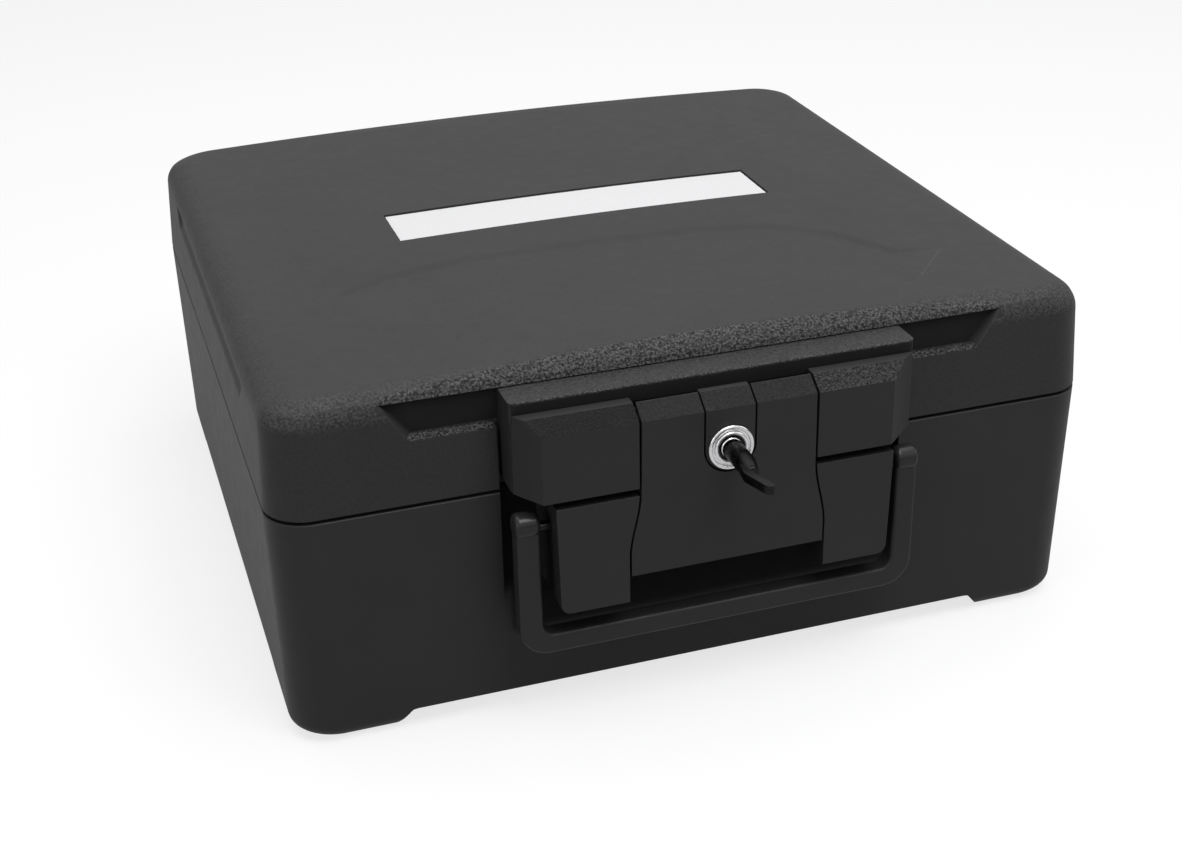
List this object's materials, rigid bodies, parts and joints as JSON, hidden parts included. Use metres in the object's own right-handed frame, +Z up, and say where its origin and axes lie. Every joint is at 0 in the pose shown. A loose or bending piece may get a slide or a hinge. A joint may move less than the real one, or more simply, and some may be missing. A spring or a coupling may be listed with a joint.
{
  "type": "fireproof safe box",
  "caption": "Low fireproof chest with a crowned lid on rear hinges, a front pull flap with a key lock, hidden hooks and a striker rod, and a hanging carry bail.",
  "frame": {"origin": "on the floor, under the middle of the whole part's bounding box with the key in the lock", "axes": "+Z up, -Y towards the latch and the key, +X to the right of someone who faces the latch"},
  "size_m": [0.425, 0.4836, 0.1875],
  "materials": {
    "case_plastic": "near-black moulded plastic with a fine leather grain",
    "latch_plastic": "smooth satin black plastic, coarse grain on the upper chamfers",
    "liner_plastic": "smooth black plastic",
    "cast_filling": "pale foamed mineral casting",
    "gasket_rubber": "matte black rubber",
    "label_white": "bare white satin label",
    "bright_chrome": "polished chrome with turned steps",
    "plain_steel": "zinc-plated steel",
    "dark_steel": "dark blackened steel"
  },
  "bodies": {
    "base": {"base_shell": "case_plastic", "base_insulation": "cast_filling", "base_liner": "liner_plastic", "rim_gasket": "gasket_rubber", "keeper_housing": "latch_plastic", "striker_rod": "plain_steel", "keeper_screw_left": "plain_steel", "keeper_screw_right": "plain_steel", "handle_pin_left": "plain_steel", "handle_pin_right": "plain_steel", "hinge_leaf_base_left": "dark_steel", "hinge_leaf_base_right": "dark_steel", "hinge_pin_left": "plain_steel", "hinge_pin_right": "plain_steel", "hinge_screw_base_left_a": "plain_steel", "hinge_screw_base_left_b": "plain_steel", "hinge_screw_base_right_a": "plain_steel", "hinge_screw_base_right_b": "plain_steel"},
    "lid": {"lid_shell": "case_plastic", "lid_insulation": "cast_filling", "lid_liner": "liner_plastic", "label_plate": "label_white", "latch_housing": "latch_plastic", "housing_screw_left": "plain_steel", "housing_screw_right": "plain_steel", "latch_pin": "plain_steel", "lock_carrier": "latch_plastic", "lock_bezel": "bright_chrome", "lock_body": "plain_steel", "lock_nut": "plain_steel", "hinge_leaf_lid_left": "dark_steel", "hinge_leaf_lid_right": "dark_steel", "hinge_screw_lid_left_a": "plain_steel", "hinge_screw_lid_left_b": "plain_steel", "hinge_screw_lid_right_a": "plain_steel", "hinge_screw_lid_right_b": "plain_steel"},
    "latch": {"latch_flap": "latch_plastic", "latch_hook_left": "plain_steel", "latch_hook_right": "plain_steel", "hook_screw_left": "plain_steel", "hook_screw_right": "plain_steel", "lock_catch": "plain_steel", "catch_screw": "plain_steel"},
    "handle": {"carry_bail": "latch_plastic"},
    "plug": {"lock_plug": "dark_steel", "lock_cam": "plain_steel", "cam_screw": "plain_steel"},
    "key": {"key": "dark_steel"}
  },
  "joints": [
    {"name": "lid_hinge", "type": "hinge", "parent": "base", "child": "lid", "pos_m": [0, 0.23725, 0.125], "axis": [-1, 0, 0], "range_deg": [0, 100]},
    {"name": "latch_pull", "type": "hinge", "parent": "lid", "child": "latch", "pos_m": [0, -0.18355, 0.161], "axis": [-1, 0, 0], "range_deg": [0, 20]},
    {"name": "handle_swing", "type": "hinge", "parent": "base", "child": "handle", "pos_m": [0, -0.18355, 0.113], "axis": [-1, 0, 0], "range_deg": [0, 90]},
    {"name": "lock_turn", "type": "hinge", "parent": "lid", "child": "plug", "pos_m": [0, -0.1977, 0.1448], "axis": [0, 1, 0], "range_deg": [0, 90]},
    {"name": "key_slide", "type": "slide", "parent": "plug", "child": "key", "axis": [0, -1, 0], "range_m": [0, 0.03]}
  ]
}
